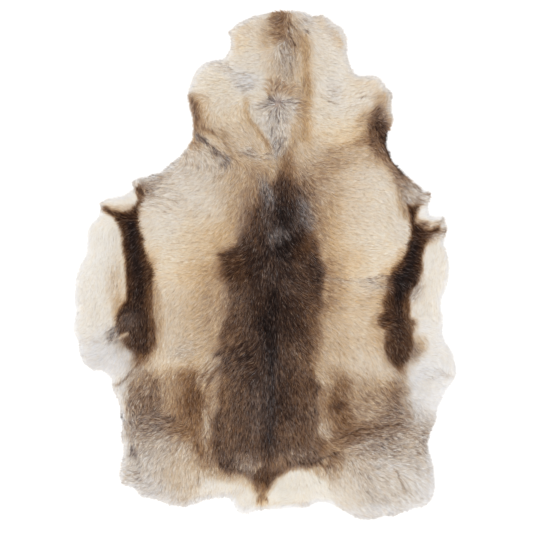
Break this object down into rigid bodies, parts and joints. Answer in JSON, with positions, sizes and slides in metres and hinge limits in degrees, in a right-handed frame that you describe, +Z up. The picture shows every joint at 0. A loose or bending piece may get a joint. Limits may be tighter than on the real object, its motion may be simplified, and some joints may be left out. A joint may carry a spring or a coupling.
{
  "type": "reindeer hide",
  "caption": "Tanned reindeer hide with its hair on, laid flat hair side up, with the neck, foreleg stubs, belly flaps, haunches and tail of its natural outline.",
  "frame": {"origin": "on the flat flesh side, under the middle of the hide's outline box, at floor level", "axes": "+Y along the spine towards the neck, +Z up through the hair, +X to the right seen from above with the neck away from the viewer"},
  "size_m": [0.9043, 1.2017, 0.0257],
  "materials": {
    "hair_on_hide": "dense, straight, hollow hair lying towards the tail, matt with a soft sheen; cream to ochre ground, dark brown back and flank bands, white belly and rump, and pale suede skin on the flesh side"
  },
  "bodies": {
    "root": {"hide": "hair_on_hide"}
  },
  "joints": []
}
